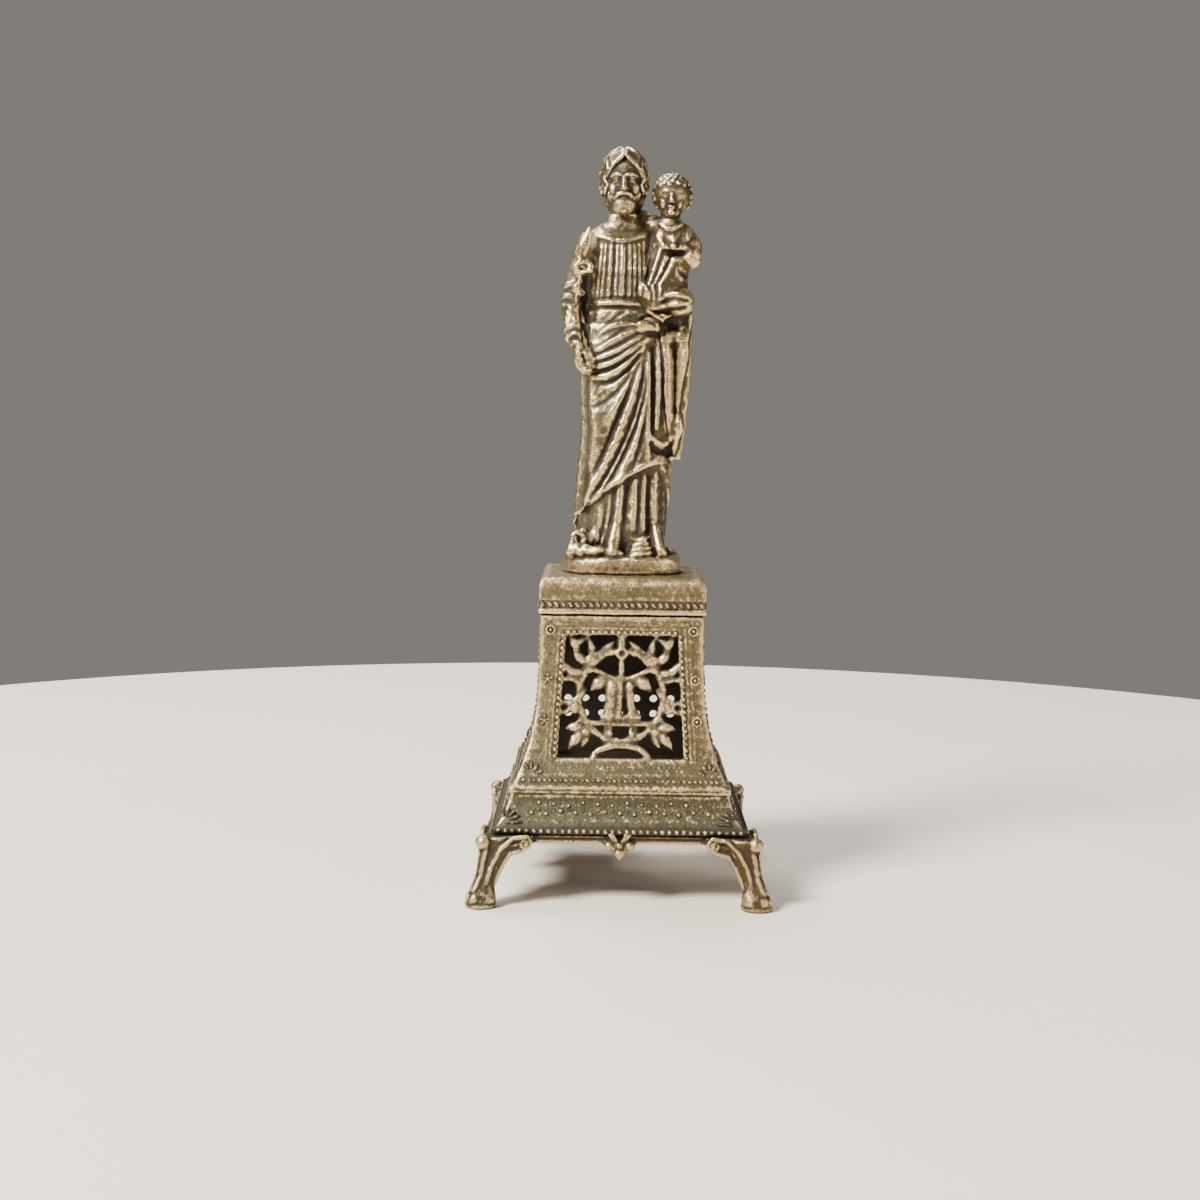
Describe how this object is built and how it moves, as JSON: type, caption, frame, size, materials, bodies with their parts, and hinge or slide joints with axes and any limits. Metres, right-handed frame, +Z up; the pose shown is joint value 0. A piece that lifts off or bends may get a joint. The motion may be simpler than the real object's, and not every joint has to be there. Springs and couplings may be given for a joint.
{
  "type": "saint joseph statue with plinth",
  "caption": "Cast metal statuette of a robed bearded man carrying a child, on a flared square pedestal with pierced scrollwork panels and scrolled feet.",
  "frame": {"origin": "on the ground, midway between the four feet", "axes": "+Z up, the figure looks along -Y, +X to the viewer's right"},
  "size_m": [0.056, 0.0558, 0.1401],
  "materials": {
    "worn_brass": "aged cast metal, worn pale on the raised folds, olive brown in the hollows, grey green bloom",
    "cap_brass": "aged cast metal, matt, uneven and pitted",
    "body_brass": "aged cast metal, matt grey tan, beads rubbed bright, dark in the hollows",
    "dark_brass": "aged cast metal, darker brown, ridges rubbed bright"
  },
  "bodies": {
    "root": {"statue": "worn_brass", "pedestal_cap": "cap_brass", "pedestal_body": "body_brass", "foot_frame": "dark_brass"}
  },
  "joints": []
}
